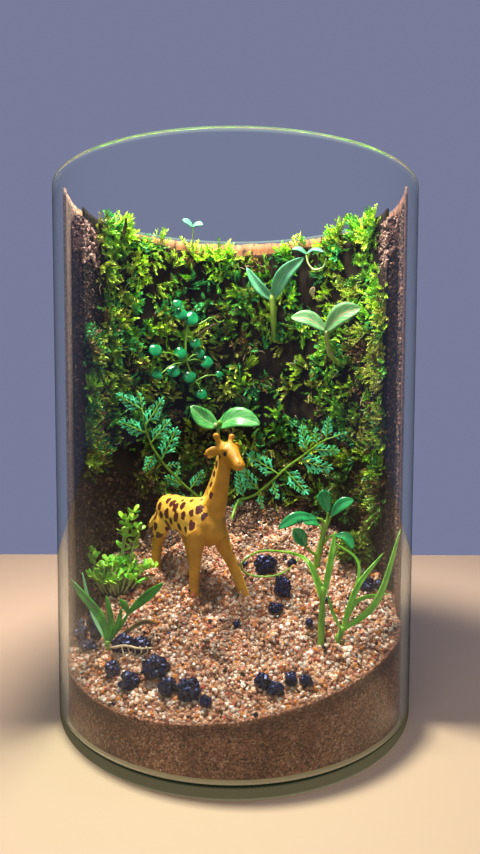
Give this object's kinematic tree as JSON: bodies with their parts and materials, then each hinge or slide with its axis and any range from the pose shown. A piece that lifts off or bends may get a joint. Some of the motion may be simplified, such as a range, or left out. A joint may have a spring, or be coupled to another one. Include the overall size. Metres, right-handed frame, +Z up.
{
  "type": "glass plant terrarium",
  "caption": "Open cylindrical glass jar planted as a terrarium: moss wall on a bark-lined back, sloping sand, black lava stones, small ferns, seedlings, grass and a toy giraffe.",
  "frame": {"origin": "middle of the jar's underside", "axes": "+Z up along the jar's axis, -Y towards the planted front, +X to the right seen from the front"},
  "size_m": [0.12, 0.12, 0.1758],
  "materials": {
    "glass": "clear",
    "bark": "matte",
    "soil": "granular",
    "moss": "matte",
    "moss_deep": "matte",
    "sand": "granular",
    "lava": "rough",
    "toy": "satin",
    "twig": "matte",
    "seedling_leaf": "satin",
    "pink_vein_leaf": "satin",
    "pale_stem": "satin",
    "coin_leaf": "glossy",
    "fern_leaf": "satin",
    "cress_leaf": "satin",
    "strap_leaf": "glossy",
    "oval_leaf": "glossy",
    "grass_leaf": "satin"
  },
  "bodies": {
    "root": {"jar": "glass", "bark_sheet": "bark", "soil_layer": "soil", "moss_mat_low_1": "moss_deep", "moss_mat_high_1": "moss", "moss_mat_low_2": "moss_deep", "moss_mat_high_2": "moss", "moss_mat_low_3": "moss_deep", "moss_mat_high_3": "moss", "moss_mat_low_4": "moss_deep", "moss_mat_high_4": "moss", "moss_mat_low_5": "moss_deep", "moss_mat_high_5": "moss", "moss_clump": "moss_deep", "sand_bank": "sand", "lava_stone_01": "lava", "lava_stone_02": "lava", "lava_stone_03": "lava", "lava_stone_04": "lava", "lava_stone_05": "lava", "lava_stone_06": "lava", "lava_stone_07": "lava", "lava_stone_08": "lava", "lava_stone_09": "lava", "lava_stone_10": "lava", "lava_stone_11": "lava", "lava_stone_12": "lava", "lava_stone_13": "lava", "lava_stone_14": "lava", "lava_stone_15": "lava", "lava_stone_16": "lava", "lava_stone_17": "lava", "lava_stone_18": "lava", "lava_stone_19": "lava", "lava_stone_20": "lava", "lava_stone_21": "lava", "lava_stone_22": "lava", "lava_stone_23": "lava", "lava_stone_24": "lava", "lava_stone_25": "lava", "lava_stone_26": "lava", "toy_giraffe": "toy", "seedling_tiny": "seedling_leaf", "seedling_pointed": "seedling_leaf", "seedling_looped": "seedling_leaf", "seedling_veined": "pink_vein_leaf", "seedling_round": "seedling_leaf", "sprout_white": "pale_stem", "creeper_coin_leaf": "coin_leaf", "fern_frond_left": "fern_leaf", "fern_frond_right": "fern_leaf", "cress_clump": "cress_leaf", "strap_leaf_plant": "strap_leaf", "oval_leaf_plant": "oval_leaf", "grass_tuft_front": "grass_leaf", "grass_tuft_side": "grass_leaf", "twig_bent": "twig", "twig_stub": "twig", "twig_leaning": "twig"}
  },
  "joints": []
}
